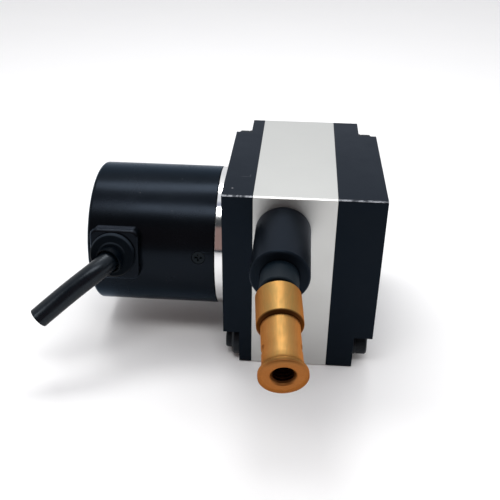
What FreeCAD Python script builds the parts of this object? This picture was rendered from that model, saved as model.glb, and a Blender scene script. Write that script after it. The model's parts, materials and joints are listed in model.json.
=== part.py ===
import FreeCAD, Part
import math
import os

# Draw wire encoder: a square housing with a spring-wound wire drum, and an incremental encoder on its side.
# Millimetres. X runs along the drum's axis, with the encoder at -X. The wire leaves towards -Y. +Z is up.
# The origin is the middle of the housing's bottom face, level with the middle body's mid-plane.

Vec = FreeCAD.Vector
ALONG_X = Vec(1, 0, 0)
ALONG_Y = Vec(0, 1, 0)
ALONG_Z = Vec(0, 0, 1)

# How far a cutter runs past the face that it opens
past = 1.0

# Housing
housing_depth = 50.0
housing_height = 50.0
body_width = 20.0
barrel_room = 0.6
plate_flange_t = 3.25
plate_outer_t = 4.25
plate_lip_t = 0.5
cover_flange_t = 6.9
cover_outer_t = 4.8
notch = 9.8
edge_chamfer = 0.35

# Socket cap screws (M3) that hold the end plates
cap_shank_r = 1.5
cap_clearance = 0.2
cap_head_r = 2.75
cap_head_h = 3.0
cap_head_chamfer = 0.3
cap_socket_af = 2.5
cap_socket_depth = 1.4
cap_inset = 4.65
cap_engagement = 3.8
thread_runout = 0.5
lock_washer_t = 0.8
lock_washer_r = 2.9
lock_washer_clearance = 0.1
lock_washer_split = 0.3
counterbore_r = 3.1
collar_r = 4.55
collar_t = 2.1
collar_chamfer = 0.6

# Mounting threads (M4) in the bottom of the body
base_thread_r = 1.65
base_thread_depth = 6.5
base_thread_spacing = 32.0

# Wire, winding and drum
wire_r = 0.3
drum_circumference = 100.0
turns = 10
turn_pitch = 0.62
wire_x = -2.6
root_clearance = 0.02
lead_off_gap_deg = 30.0
winding_margin = 0.2
drum_rim_r = 18.5
drum_rim_t = 1.0
drum_hub_r = 9.0
drum_wall_t = 2.2
drum_web_t = 3.0
web_hole_r = 1.5
web_hole_count = 6
drum_side_gap = 0.7

# Shaft, its set screw and its retaining ring
shaft_seat_r = 5.0
shaft_shoulder_r = 5.9
arbor_seat_r = 4.0
shaft_end_r = 3.0
shaft_fit = 0.01
shaft_bore_depth = 19.5
shaft_bore_clearance = 0.02
set_screw_r = 1.5
set_screw_clearance = 0.05
set_screw_length = 5.5
set_screw_inset = 3.2
set_screw_socket_af = 1.5
set_screw_socket_depth = 2.0
retaining_ring_t = 0.8
retaining_ring_r = 6.2
retaining_groove_depth = 0.5
retaining_ring_split = 3.2

# Ball bearings: outer radius, bore radius and width
left_bearing_r = 9.5
left_bearing_bore_r = 5.0
left_bearing_w = 5.0
right_bearing_r = 6.5
right_bearing_bore_r = 3.0
right_bearing_w = 5.0
bearing_ring_share = 0.26
ball_share = 0.32
ball_gap = 0.06
ball_count = 8
bearing_relief_r = 5.2
bearing_relief_t = 0.4
plate_lip_r = 8.0

# Mainspring and its barrel
spring_strip_t = 0.25
spring_strip_w = 5.8
spring_inner_r = 4.9
spring_half_turns = 16
spring_side_gap = 0.5
barrel_wall = 0.8
barrel_r = 20.4
barrel_clearance = 0.1
barrel_hole_r = 5.2
barrel_to_bearing = 0.3
partition_t = 0.8
partition_hole_r = 6.6
arbor_pin_r = 0.75
arbor_pin_inset = 0.2

# Outlet nozzle, bush, eyelet and wiper
nozzle_r = 6.7
nozzle_length = 20.0
nozzle_chamfer = 0.4
nozzle_spigot_r = 4.0
nozzle_spigot_length = 8.0
nozzle_bore_r = 2.5
bush_r = 4.3
bush_seat_depth = 10.0
bush_seat_clearance = 0.02
bush_reach = 6.3
bush_bore_r = 1.4
bush_edge = 0.3
eyelet_r = 2.4
eyelet_t = 2.0
eyelet_bore_r = 0.5
eyelet_mouth = 0.5
felt_t = 3.0
felt_clearance = 0.1

# End fitting: lengths are measured from the back of its head, along its own axis
fitting_gap = 1.0
fitting_droop_deg = 9.4
fitting_swing_deg = 5.3
fitting_length = 21.0
fitting_head_r = 4.85
fitting_head_length = 8.1
fitting_head_chamfer = 0.6
fitting_back_chamfer = 0.25
fitting_neck_r = 4.0
fitting_flange_r = 4.85
fitting_flange_t = 0.7
fitting_flare_length = 2.6
fitting_thread_r = 2.1
fitting_thread_depth = 7.0
ferrule_pocket_depth = 4.0
ferrule_pocket_clearance = 0.1
fitting_mouth_chamfer = 0.6
fitting_wire_hole_r = 0.5
side_slot_at = 15.1
side_slot_w = 1.8
side_slot_l = 3.9
side_slot_depth = 1.2
side_slot_end_r = 0.8
ferrule_r = 1.6
ferrule_length = 3.5
ferrule_chamfer = 0.3

# Encoder flange, its bearings and its shaft
encoder_r = 19.25
encoder_turn_deg = 10.6
encoder_flange_t = 3.0
encoder_flange_edge = 0.3
encoder_boss_r = 10.0
encoder_boss_length = 1.8
boss_clearance = 0.05
encoder_tube_r = 9.0
encoder_tube_length = 12.4
spigot_wall = 3.6
spigot_length = 5.5
spigot_clearance = 0.05
encoder_shaft_r = 3.0
encoder_shaft_clearance = 0.5
encoder_shaft_chamfer = 0.4
encoder_shaft_end_gap = 0.5
encoder_bearing_r = 6.5
encoder_bearing_w = 5.0
encoder_bearing_gap = 2.0
flange_screw_pitch_r = 14.0
flange_screw_r = 1.5
flange_screw_head_r = 2.9
flange_screw_sunk = 0.2
flange_screw_length = 9.0
flange_screw_count = 3
flange_screw_socket_af = 2.0
flange_screw_socket_depth = 1.2

# Code disc, reading head and circuit board
disc_room = 0.7
disc_bore_r = 4.0
disc_t = 1.0
disc_hub_r = 6.0
disc_hub_length = 3.0
disc_at = 14.2
head_size = 8.0
head_slot = 2.2
head_jaw_t = 2.0
head_overlap = 3.9
head_slot_clearance = 0.6
board_room = 0.45
board_t = 1.6
board_at = 17.7
board_hub_clearance = 0.6
board_screw_r = 0.8
board_screw_head_r = 1.7
board_screw_head_h = 1.2
board_screw_length = 4.6
board_screw_clearance = 0.1
standoff_r = 1.7
standoff_inset = 2.2

# Encoder cover with its cable pad and its screws
cover_length = 33.2
cover_wall = 1.6
cover_end_t = 2.0
cover_edge_r = 1.0
pad_turn_deg = 12.6
pad_reach = 21.5
pad_half_width = 6.7
pad_inset = 1.5
pad_length = 12.7
pad_corner_r = 2.0
pad_edge_r = 0.8
cover_screw_at = 3.95
cover_screw_head_r = 1.7
cover_screw_head_h = 0.9
cover_screw_sunk = 0.15
cover_screw_r = 1.0
cover_screw_length = 4.0
cover_screw_count = 3
cover_screw_clearance = 0.1
cross_recess_w = 0.55
cross_recess_l = 1.9
cross_recess_depth = 0.6

# Cable, grommet and cores
cable_r = 2.7
cable_fit = 0.02
grommet_x = -46.2
grommet_r = 5.8
grommet_t = 1.3
grommet_edge = 0.4
grommet_neck_r = 4.75
grommet_neck_clearance = 0.05
grommet_inner_reach = 0.4
boot_r = 3.6
boot_length = 2.2
boot_mouth_r = 3.2
boot_mouth_depth = 1.0
boot_to_bend = 1.2
core_r = 0.42
core_ring_r = 1.25
core_count = 5
core_shown_length = 4.0
cable_from_axis = [
    (-44.8, -13.1, 4.7),
    (-45.8, -18.7, 4.1),
    (-47.4, -24.2, 3.7),
    (-51.2, -28.0, 1.8),
    (-57.4, -31.1, -2.6),
    (-63.1, -33.9, -7.1),
]

# Places worked out from the sizes
axis_z = housing_height / 2
front_y = -housing_depth / 2
body_x0 = -body_width / 2
body_x1 = body_width / 2
plate_face_x = body_x0 - plate_flange_t
plate_x0 = plate_face_x - plate_outer_t
cover_face_x = body_x1 + cover_flange_t
cover_x1 = cover_face_x + cover_outer_t
pitch_r = drum_circumference / (2 * math.pi)
root_r = pitch_r - wire_r - root_clearance
wire_z = axis_z + pitch_r
winding_reach = (turns - 1) * turn_pitch + wire_r + winding_margin
drum_core_x0 = wire_x - winding_reach
drum_core_x1 = wire_x + winding_reach
drum_x0 = drum_core_x0 - drum_rim_t
drum_x1 = drum_core_x1 + drum_rim_t
set_screw_x = drum_x1 - set_screw_inset
nozzle_end_y = front_y - nozzle_length
bush_start_y = nozzle_end_y + bush_seat_depth
bush_end_y = nozzle_end_y - bush_reach
fitting_back_y = bush_end_y - fitting_gap
flange_x0 = plate_x0 - encoder_flange_t
encoder_x0 = flange_x0 - cover_length
bearing_x0 = body_x0 - left_bearing_w
partition_x0 = drum_x1 + retaining_ring_t + drum_side_gap
partition_x1 = partition_x0 + partition_t
strip_x0 = partition_x1 + spring_side_gap
strip_x1 = strip_x0 + spring_strip_w
barrel_x1 = strip_x1 + spring_side_gap + barrel_wall
right_bearing_x0 = barrel_x1 + barrel_to_bearing
right_bearing_x1 = right_bearing_x0 + right_bearing_w
cover_inner_r = encoder_r - cover_wall
spigot_r = cover_inner_r - spigot_clearance
standoff_pitch_r = spigot_r - standoff_inset
board_r = cover_inner_r - board_room
disc_r = standoff_pitch_r - standoff_r - disc_room
spigot_x0 = flange_x0 - spigot_length
disc_x1 = flange_x0 - disc_at
board_x1 = flange_x0 - board_at
board_x0 = board_x1 - board_t
standoff_start_deg = encoder_turn_deg + 180.0 / flange_screw_count
cable_route = [Vec(x, y, axis_z + z) for x, y, z in cable_from_axis]
pocket_at = fitting_length - fitting_thread_depth - ferrule_pocket_depth


def rod(start, end, r):
    """A round bar from one point to another."""
    line = end - start
    return Part.makeCylinder(r, line.Length, start, line)


def x_rod(x0, x1, r, y=0.0, z=axis_z):
    """A round bar along X, on the drum's axis if no place is given."""
    return Part.makeCylinder(r, x1 - x0, Vec(x0, y, z), ALONG_X)


def x_ring(x0, x1, outer, inner, y=0.0, z=axis_z):
    """A plain ring along X."""
    return x_rod(x0, x1, outer, y, z).cut(x_rod(x0 - past, x1 + past, inner, y, z))


def turned(profile, base, direction):
    """A lathe part. The profile is a closed list of (distance along the axis, radius)."""
    points = [Vec(s, r, 0) for s, r in profile]
    outline = Part.makePolygon(points + [points[0]])
    solid = Part.Face(outline).revolve(Vec(0, 0, 0), ALONG_X, 360)
    solid.Placement = FreeCAD.Placement(base, FreeCAD.Rotation(ALONG_X, direction))
    return solid


def box(x0, x1, y0, y1, z0, z1):
    """A block between two corners."""
    return Part.makeBox(x1 - x0, y1 - y0, z1 - z0, Vec(x0, y0, z0))


def hexagon_socket(mouth, inward, across_flats, depth):
    """The cutter of a hexagon socket, from just outside its mouth."""
    r = across_flats / math.sqrt(3)
    angles = [i * math.pi / 3 for i in range(7)]
    outline = Part.makePolygon([Vec(0, r * math.cos(a), r * math.sin(a)) for a in angles])
    bar = Part.Face(outline).extrude(ALONG_X * (depth + past))
    bar.Placement = FreeCAD.Placement(mouth - inward * past, FreeCAD.Rotation(ALONG_X, inward))
    return bar


def around_axis(shape, degrees):
    """A copy turned about the drum's axis."""
    copy = shape.copy()
    copy.rotate(Vec(0, 0, axis_z), ALONG_X, degrees)
    return copy


def ring_of(shape, count, start_deg=0.0):
    """Copies spaced evenly about the drum's axis."""
    return [around_axis(shape, start_deg + 360.0 * i / count) for i in range(count)]


def cut_all(shape, cutters):
    """A shape less each of a list of cutters."""
    for cutter in cutters:
        shape = shape.cut(cutter)
    return shape


def straight_edges(shape, direction):
    """The straight edges that run along a direction."""
    lines = [e for e in shape.Edges if isinstance(e.Curve, Part.Line)]
    return [e for e in lines if abs(abs(e.Curve.Direction.dot(direction)) - 1) < 1e-6]


def round_edges(shape):
    """The circular edges."""
    return [e for e in shape.Edges if isinstance(e.Curve, Part.Circle)]


# Housing

def notch_corners():
    """Screw places at the front bottom and back top, where the plates are notched."""
    return [(front_y + cap_inset, cap_inset), (-front_y - cap_inset, housing_height - cap_inset)]


def whole_corners():
    """Screw places at the front top and back bottom, where the plates are whole."""
    return [(front_y + cap_inset, housing_height - cap_inset), (-front_y - cap_inset, cap_inset)]


def square_slab(x0, x1):
    """A slab of the housing's square section, with its four long edges broken."""
    slab = box(x0, x1, front_y, -front_y, 0, housing_height)
    return slab.makeChamfer(edge_chamfer, straight_edges(slab, ALONG_X))


def notch_cutters(x0, x1):
    """The two corner notches of a plate's outer layer."""
    low = box(x0, x1, front_y - past, front_y + notch, -past, notch)
    top = housing_height
    high = box(x0, x1, -front_y - notch, -front_y + past, top - notch, top + past)
    return [low, high]


def encoder_plate():
    """Left end plate: notched outer layer, bearing seat, encoder recess and screw holes."""
    plate = square_slab(plate_x0, body_x0)
    plate = cut_all(plate, notch_cutters(plate_x0 - past, plate_face_x))
    recess_x = bearing_x0 - plate_lip_t
    plate = plate.cut(x_rod(plate_x0 - past, recess_x, encoder_boss_r + boss_clearance))
    plate = plate.cut(x_rod(bearing_x0, body_x0 + past, left_bearing_r))
    plate = plate.cut(x_rod(plate_x0, body_x0, plate_lip_r))
    for y, z in notch_corners() + whole_corners():
        plate = plate.cut(x_rod(plate_x0 - past, body_x0 + past, cap_shank_r + cap_clearance, y, z))
    for y, z in whole_corners():
        plate = plate.cut(x_rod(plate_x0 - past, plate_face_x, counterbore_r, y, z))
    return cut_all(plate, ring_of(flange_screw_hole(), flange_screw_count, encoder_turn_deg))


def body_frame():
    """Middle body: a square block bored through, with the outlet thread and the base threads."""
    block = square_slab(body_x0, body_x1)
    block = block.cut(x_rod(body_x0 - past, body_x1 + past, barrel_r + barrel_room))
    block = block.cut(rod(along_wire(front_y - past), along_wire(0), nozzle_spigot_r))
    for y, z in notch_corners() + whole_corners():
        for face_x, inward in ((body_x0, 1), (body_x1, -1)):
            start = Vec(face_x - inward * past, y, z)
            end = Vec(face_x + inward * (cap_engagement + thread_runout), y, z)
            block = block.cut(rod(start, end, cap_shank_r))
    for side in (-1, 1):
        y = side * base_thread_spacing / 2
        block = block.cut(rod(Vec(0, y, -past), Vec(0, y, base_thread_depth), base_thread_r))
    return block


def spring_cover():
    """Right end cover: notched outer layer, spring recess and a blind bearing seat."""
    cover = square_slab(body_x1, cover_x1)
    cover = cut_all(cover, notch_cutters(cover_face_x, cover_x1 + past))
    cover = cover.cut(x_rod(body_x1 - past, barrel_x1, barrel_r + barrel_clearance))
    cover = cover.cut(x_rod(body_x1, right_bearing_x1, right_bearing_r))
    cover = cover.cut(x_rod(body_x1, right_bearing_x1 + bearing_relief_t, bearing_relief_r))
    for y, z in notch_corners() + whole_corners():
        cover = cover.cut(x_rod(body_x1 - past, cover_x1 + past, cap_shank_r + cap_clearance, y, z))
    for y, z in whole_corners():
        cover = cover.cut(x_rod(cover_face_x, cover_x1 + past, counterbore_r, y, z))
    return cover


def cap_screw(seat_x, tip_x, y, z):
    """A socket cap screw along X, from the seat of its head to its tip."""
    inward = ALONG_X if tip_x > seat_x else ALONG_X * -1
    top = Vec(seat_x, y, z) - inward * cap_head_h
    length = abs(tip_x - top.x)
    profile = [
        (0, 0),
        (0, cap_head_r - cap_head_chamfer),
        (cap_head_chamfer, cap_head_r),
        (cap_head_h, cap_head_r),
        (cap_head_h, cap_shank_r),
        (length, cap_shank_r),
        (length, 0),
    ]
    screw = turned(profile, top, inward)
    return screw.cut(hexagon_socket(top, inward, cap_socket_af, cap_socket_depth))


def lock_washer(seat_x, out, y, z):
    """A split spring washer under a screw head."""
    x0, x1 = sorted([seat_x, seat_x + out * lock_washer_t])
    washer = x_ring(x0, x1, lock_washer_r, cap_shank_r + lock_washer_clearance, y, z)
    half = lock_washer_split / 2
    return washer.cut(box(x0 - past, x1 + past, y - half, y + half, z, z + lock_washer_r + past))


def screw_collar():
    """A thick collar in one notch, with a counterbore that takes the screw's head."""
    y, z = notch_corners()[0]
    hole_r = cap_shank_r + lock_washer_clearance
    mouth_r = cap_head_r + cap_clearance
    profile = [
        (0, hole_r),
        (0, collar_r),
        (collar_t - collar_chamfer, collar_r),
        (collar_t, collar_r - collar_chamfer),
        (collar_t, mouth_r),
        (lock_washer_t, mouth_r),
        (lock_washer_t, hole_r),
    ]
    return turned(profile, Vec(plate_face_x, y, z), ALONG_X * -1)


def plate_screws(face_x, out):
    """The four cap screws of one side. They all seat on washers of one thickness."""
    body_face_x = body_x0 if out < 0 else body_x1
    seat_x = face_x + out * lock_washer_t
    tip_x = body_face_x - out * cap_engagement
    return [cap_screw(seat_x, tip_x, y, z) for y, z in notch_corners() + whole_corners()]


def lock_washers():
    """The washers of both sides. The collar takes the place of one."""
    left_places = notch_corners()[1:] + whole_corners()
    right_places = notch_corners() + whole_corners()
    left = [lock_washer(plate_face_x, -1, y, z) for y, z in left_places]
    right = [lock_washer(cover_face_x, 1, y, z) for y, z in right_places]
    return left + right


# Outlet

def along_wire(y):
    """The point of the wire's line at a depth."""
    return Vec(wire_x, y, wire_z)


def wire_nozzle():
    """Turned nozzle with a spigot that screws into the body, and a seat for the bush."""
    seat_at = nozzle_length - bush_seat_depth
    seat_r = bush_r + bush_seat_clearance
    profile = [
        (-nozzle_spigot_length, nozzle_bore_r),
        (-nozzle_spigot_length, nozzle_spigot_r),
        (0, nozzle_spigot_r),
        (0, nozzle_r),
        (nozzle_length - nozzle_chamfer, nozzle_r),
        (nozzle_length, nozzle_r - nozzle_chamfer),
        (nozzle_length, seat_r),
        (seat_at, seat_r),
        (seat_at, nozzle_bore_r),
    ]
    return turned(profile, along_wire(front_y), ALONG_Y * -1)


def outlet_bush():
    """The bush that stands out of the nozzle, with a seat for the eyelet in its end."""
    length = bush_seat_depth + bush_reach
    profile = [
        (0, bush_bore_r),
        (0, bush_r),
        (length - bush_edge, bush_r),
        (length, bush_r - bush_edge),
        (length, eyelet_r),
        (length - eyelet_t, eyelet_r),
        (length - eyelet_t, bush_bore_r),
    ]
    return turned(profile, along_wire(bush_start_y), ALONG_Y * -1)


def wire_eyelet():
    """A hard ring with a flared mouth on each side."""
    mouth_r = eyelet_bore_r + eyelet_mouth
    profile = [
        (0, mouth_r),
        (0, eyelet_r),
        (eyelet_t, eyelet_r),
        (eyelet_t, mouth_r),
        (eyelet_t - eyelet_mouth, eyelet_bore_r),
        (eyelet_mouth, eyelet_bore_r),
    ]
    return turned(profile, along_wire(bush_end_y + eyelet_t), ALONG_Y * -1)


def wiper_felt():
    """A felt ring in the nozzle's bore, behind the bush."""
    start = along_wire(bush_start_y + felt_t)
    end = along_wire(bush_start_y)
    hole = rod(start + ALONG_Y * past, end - ALONG_Y * past, wire_r + felt_clearance)
    return rod(start, end, nozzle_bore_r).cut(hole)


# Wire and end fitting

def fitting_axis():
    """The direction in which the end fitting hangs."""
    swing = math.tan(math.radians(fitting_swing_deg))
    droop = math.tan(math.radians(fitting_droop_deg))
    return Vec(swing, -1.0, -droop).normalize()


def along_fitting(s):
    """The point of the end fitting's axis at a distance from the back of its head."""
    return along_wire(fitting_back_y) + fitting_axis() * s


def side_slots():
    """Cutters of the two blind slots in the sides of the fitting's neck."""
    half_w = side_slot_w / 2
    half_l = side_slot_l / 2
    floor = fitting_neck_r - side_slot_depth
    outside = fitting_neck_r + past
    level = FreeCAD.Rotation(fitting_axis(), ALONG_X, ALONG_Z, "XZY")
    place = FreeCAD.Placement(along_fitting(side_slot_at), level)
    slots = []
    for y0, y1 in ((floor, outside), (-outside, -floor)):
        slot = box(-half_w, half_w, y0, y1, -half_l, half_l)
        slot = slot.makeFillet(side_slot_end_r, straight_edges(slot, ALONG_Y))
        slot.Placement = place
        slots.append(slot)
    return slots


def end_fitting():
    """Turned end fitting: head, neck, flared flange, threaded bore, ferrule pocket and side slots."""
    head_end = fitting_head_length + fitting_head_chamfer
    flare_end = fitting_length - fitting_flange_t
    flare_rise = fitting_flange_r - fitting_neck_r
    thread_at = fitting_length - fitting_thread_depth
    pocket_r = ferrule_r + ferrule_pocket_clearance
    profile = [
        (0, fitting_wire_hole_r),
        (0, fitting_head_r - fitting_back_chamfer),
        (fitting_back_chamfer, fitting_head_r),
        (fitting_head_length, fitting_head_r),
        (head_end, fitting_head_r - fitting_head_chamfer),
        (head_end, fitting_neck_r),
        (flare_end - fitting_flare_length, fitting_neck_r),
        (flare_end - fitting_flare_length / 3, fitting_neck_r + flare_rise / 3),
        (flare_end, fitting_flange_r),
        (fitting_length, fitting_flange_r),
        (fitting_length, fitting_thread_r + fitting_mouth_chamfer),
        (fitting_length - fitting_mouth_chamfer, fitting_thread_r),
        (thread_at, fitting_thread_r),
        (thread_at, pocket_r),
        (pocket_at, pocket_r),
        (pocket_at, fitting_wire_hole_r),
    ]
    return cut_all(turned(profile, along_fitting(0), fitting_axis()), side_slots())


def ferrule_start():
    """The floor of the pocket behind the thread, where the ferrule bears."""
    return along_fitting(pocket_at)


def wire_ferrule():
    """The crimped ferrule against the floor of its pocket."""
    ferrule = rod(ferrule_start(), ferrule_start() + fitting_axis() * ferrule_length, ferrule_r)
    return ferrule.makeChamfer(ferrule_chamfer, round_edges(ferrule))


def measuring_wire():
    """The run from the drum's top, through the eyelet, to the ferrule."""
    pivot = along_fitting(0)
    run = rod(along_wire(0), pivot, wire_r)
    bend = Part.makeSphere(wire_r, pivot)
    tail = rod(pivot, ferrule_start(), wire_r)
    return run.fuse([bend, tail]).removeSplitter()


def wound_wire():
    """The turns on the drum, side by side. The first one is open in front, where the wire leads off."""
    sweep_deg = 360 - lead_off_gap_deg
    start = Vec(wire_x, 0, axis_z)
    open_turn = Part.makeTorus(pitch_r, wire_r, start, ALONG_X, -180, 180, sweep_deg)
    whole_turns = [
        Part.makeTorus(pitch_r, wire_r, start - ALONG_X * (i * turn_pitch), ALONG_X)
        for i in range(1, turns)
    ]
    return [around_axis(open_turn, lead_off_gap_deg)] + whole_turns


# Drum, shaft and bearings

def above_axis(x, r):
    """A point straight above the drum's axis."""
    return Vec(x, 0, axis_z + r)


def drum():
    """Wire drum: two rims, a thin winding wall, a web with holes, and a hub."""
    inner_wall_r = root_r - drum_wall_t
    bore_r = shaft_seat_r + shaft_fit
    width = drum_x1 - drum_x0
    profile = [
        (0, bore_r),
        (0, drum_rim_r),
        (drum_rim_t, drum_rim_r),
        (drum_rim_t, root_r),
        (width - drum_rim_t, root_r),
        (width - drum_rim_t, drum_rim_r),
        (width, drum_rim_r),
        (width, inner_wall_r),
        (drum_web_t, inner_wall_r),
        (drum_web_t, drum_hub_r),
        (width, drum_hub_r),
        (width, bore_r),
    ]
    solid = turned(profile, Vec(drum_x0, 0, axis_z), ALONG_X)
    web_hole_at = (inner_wall_r + drum_hub_r) / 2
    web_hole = x_rod(drum_x0 - past, drum_x0 + drum_web_t + past, web_hole_r, web_hole_at)
    solid = cut_all(solid, ring_of(web_hole, web_hole_count))
    thread_and_key_hole = rod(above_axis(set_screw_x, 0), above_axis(set_screw_x, pitch_r), set_screw_r)
    return solid.cut(thread_and_key_hole)


def drum_set_screw():
    """The set screw that locks the drum, its shaft and the encoder's shaft together."""
    tip = above_axis(set_screw_x, encoder_shaft_r)
    end = above_axis(set_screw_x, encoder_shaft_r + set_screw_length)
    screw = rod(tip, end, set_screw_r)
    return screw.cut(hexagon_socket(end, ALONG_Z * -1, set_screw_socket_af, set_screw_socket_depth))


def drum_shaft():
    """Stepped shaft with a blind bore at its left end for the encoder's shaft."""
    bore_r = encoder_shaft_r + shaft_bore_clearance
    length = right_bearing_x1 - bearing_x0
    shoulder_at = body_x0 - bearing_x0
    drum_at = drum_x0 - bearing_x0
    seat_end = drum_x1 + retaining_ring_t - bearing_x0
    arbor_end = right_bearing_x0 - bearing_x0
    profile = [
        (0, bore_r),
        (0, shaft_seat_r),
        (shoulder_at, shaft_seat_r),
        (shoulder_at, shaft_shoulder_r),
        (drum_at, shaft_shoulder_r),
        (drum_at, shaft_seat_r),
        (seat_end, shaft_seat_r),
        (seat_end, arbor_seat_r),
        (arbor_end, arbor_seat_r),
        (arbor_end, shaft_end_r),
        (length, shaft_end_r),
        (length, 0),
        (shaft_bore_depth, 0),
        (shaft_bore_depth, bore_r),
    ]
    shaft = turned(profile, Vec(bearing_x0, 0, axis_z), ALONG_X)
    groove_r = shaft_seat_r - retaining_groove_depth
    shaft = shaft.cut(x_ring(drum_x1, drum_x1 + retaining_ring_t, shaft_seat_r + past, groove_r))
    hole_r = set_screw_r + set_screw_clearance
    shaft = shaft.cut(rod(above_axis(set_screw_x, 0), above_axis(set_screw_x, shaft_seat_r + past), hole_r))
    return shaft.cut(arbor_cross_hole())


def retaining_ring():
    """An open ring in the shaft's groove that holds the drum."""
    x1 = drum_x1 + retaining_ring_t
    ring = x_ring(drum_x1, x1, retaining_ring_r, shaft_seat_r - retaining_groove_depth)
    half = retaining_ring_split / 2
    top = axis_z + retaining_ring_r + past
    return ring.cut(box(drum_x1 - past, x1 + past, -half, half, axis_z, top))


def bearing(x0, width, outer_r, bore_r):
    """Outer ring, inner ring and balls of one ball bearing, on the drum's axis."""
    wall = (outer_r - bore_r) * bearing_ring_share
    race_r = (outer_r + bore_r) / 2
    ball_r = (outer_r - bore_r) * ball_share
    middle = Vec(x0 + width / 2, 0, axis_z)
    groove = Part.makeTorus(race_r, ball_r + ball_gap, middle, ALONG_X)
    outer = x_ring(x0, x0 + width, outer_r, outer_r - wall).cut(groove)
    inner = x_ring(x0, x0 + width, bore_r + wall, bore_r).cut(groove)
    balls = ring_of(Part.makeSphere(ball_r, middle + ALONG_Y * race_r), ball_count)
    return outer, inner, balls


# Mainspring

def arbor_cross_hole():
    """The hole for the pin, through the arbor and the shaft."""
    x = (strip_x0 + strip_x1) / 2
    return rod(above_axis(x, -spring_inner_r - past), above_axis(x, spring_inner_r + past), arbor_pin_r)


def spring_arbor():
    """The sleeve that the spring's inner end bears on."""
    return x_ring(strip_x0, strip_x1, spring_inner_r, arbor_seat_r + shaft_fit).cut(arbor_cross_hole())


def arbor_pin():
    """The cross pin through the arbor and the shaft."""
    x = (strip_x0 + strip_x1) / 2
    reach = spring_inner_r - arbor_pin_inset
    return rod(above_axis(x, -reach), above_axis(x, reach), arbor_pin_r)


def spiral_edges(shift):
    """Half circles of growing radius, a fixed shift away from the strip's middle line."""
    first_r = spring_inner_r + spring_strip_t / 2
    last_r = barrel_r - barrel_wall - spring_strip_t / 2
    step = (last_r - first_r) / (2 * spring_half_turns)
    edges = []
    for i in range(spring_half_turns):
        side = 1 if i % 2 == 0 else -1
        r = first_r + step * (2 * i + 1) + shift
        centre = Vec(0, side * step, axis_z)
        across = ALONG_Y * (side * r)
        edges.append(Part.Arc(centre - across, centre + ALONG_Z * (side * r), centre + across).toShape())
    return edges


def mainspring():
    """The flat spiral spring, evenly opened out between the arbor and the barrel."""
    outer = spiral_edges(spring_strip_t / 2)
    inner = spiral_edges(-spring_strip_t / 2)
    start_cap = Part.LineSegment(inner[0].Vertexes[0].Point, outer[0].Vertexes[0].Point).toShape()
    end_cap = Part.LineSegment(inner[-1].Vertexes[-1].Point, outer[-1].Vertexes[-1].Point).toShape()
    outline = Part.Wire(Part.sortEdges(outer + inner + [start_cap, end_cap])[0])
    strip = Part.Face(outline).extrude(ALONG_X * spring_strip_w)
    strip.translate(ALONG_X * strip_x0)
    return strip


def spring_partition():
    """The disc that keeps the wire out of the spring."""
    return x_ring(partition_x0, partition_x1, barrel_r, partition_hole_r)


def spring_barrel():
    """The shallow cup that the spring pushes against."""
    cup = x_rod(partition_x1, barrel_x1, barrel_r)
    cup = cup.cut(x_rod(partition_x1 - past, barrel_x1 - barrel_wall, barrel_r - barrel_wall))
    return cup.cut(x_rod(partition_x1, barrel_x1 + past, barrel_hole_r))


# Encoder

def encoder_flange():
    """Bright flange with a centring boss, a spigot for the cover, and the bearings' tube."""
    through_r = encoder_shaft_r + encoder_shaft_clearance
    tube_x0 = flange_x0 - encoder_tube_length
    base_at = encoder_tube_length
    face_at = base_at + encoder_flange_t
    boss_at = face_at + encoder_boss_length
    edge = encoder_flange_edge
    profile = [
        (0, encoder_bearing_r),
        (0, encoder_tube_r),
        (base_at, encoder_tube_r),
        (base_at, spigot_r - spigot_wall),
        (base_at - spigot_length, spigot_r - spigot_wall),
        (base_at - spigot_length, spigot_r),
        (base_at, spigot_r),
        (base_at, encoder_r - edge),
        (base_at + edge, encoder_r),
        (face_at - edge, encoder_r),
        (face_at, encoder_r - edge),
        (face_at, encoder_boss_r),
        (boss_at, encoder_boss_r),
        (boss_at, through_r),
        (base_at, through_r),
        (base_at, encoder_bearing_r),
    ]
    flange = turned(profile, Vec(tube_x0, 0, axis_z), ALONG_X)
    flange = cut_all(flange, ring_of(flange_screw_shank(0), flange_screw_count, encoder_turn_deg))
    return cut_all(flange, [turn_encoder(s) for s in ring_of(cover_screw_thread(), cover_screw_count)])


def flange_screw_top():
    """The middle of a countersunk head's face, just under the plate's inner face."""
    return Vec(body_x0 - flange_screw_sunk, -flange_screw_pitch_r, axis_z)


def flange_screw_shank(extra):
    """The shank of a screw from the plate into the encoder's flange."""
    top = flange_screw_top()
    return rod(top, top - ALONG_X * flange_screw_length, flange_screw_r + extra)


def flange_screw_head():
    """The cone of a countersunk head."""
    profile = [
        (0, 0),
        (0, flange_screw_head_r),
        (flange_screw_head_r - flange_screw_r, flange_screw_r),
        (flange_screw_head_r - flange_screw_r, 0),
    ]
    return turned(profile, flange_screw_top(), ALONG_X * -1)


def flange_screw_hole():
    """What the plate loses for one countersunk screw."""
    top = flange_screw_top()
    mouth = rod(top, top + ALONG_X * past, flange_screw_head_r)
    return flange_screw_head().fuse([flange_screw_shank(cap_clearance), mouth])


def flange_screws():
    """The countersunk screws with their hexagon sockets."""
    screw = flange_screw_head().fuse(flange_screw_shank(0)).removeSplitter()
    socket = hexagon_socket(
        flange_screw_top(), ALONG_X * -1, flange_screw_socket_af, flange_screw_socket_depth
    )
    return ring_of(screw.cut(socket), flange_screw_count, encoder_turn_deg)


def encoder_shaft():
    """The encoder's shaft, from behind the code disc into the drum's shaft."""
    tail_x = disc_x1 - disc_hub_length
    nose_x = bearing_x0 + shaft_bore_depth - encoder_shaft_end_gap
    shaft = x_rod(tail_x, nose_x, encoder_shaft_r)
    return shaft.makeChamfer(encoder_shaft_chamfer, round_edges(shaft))


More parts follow.
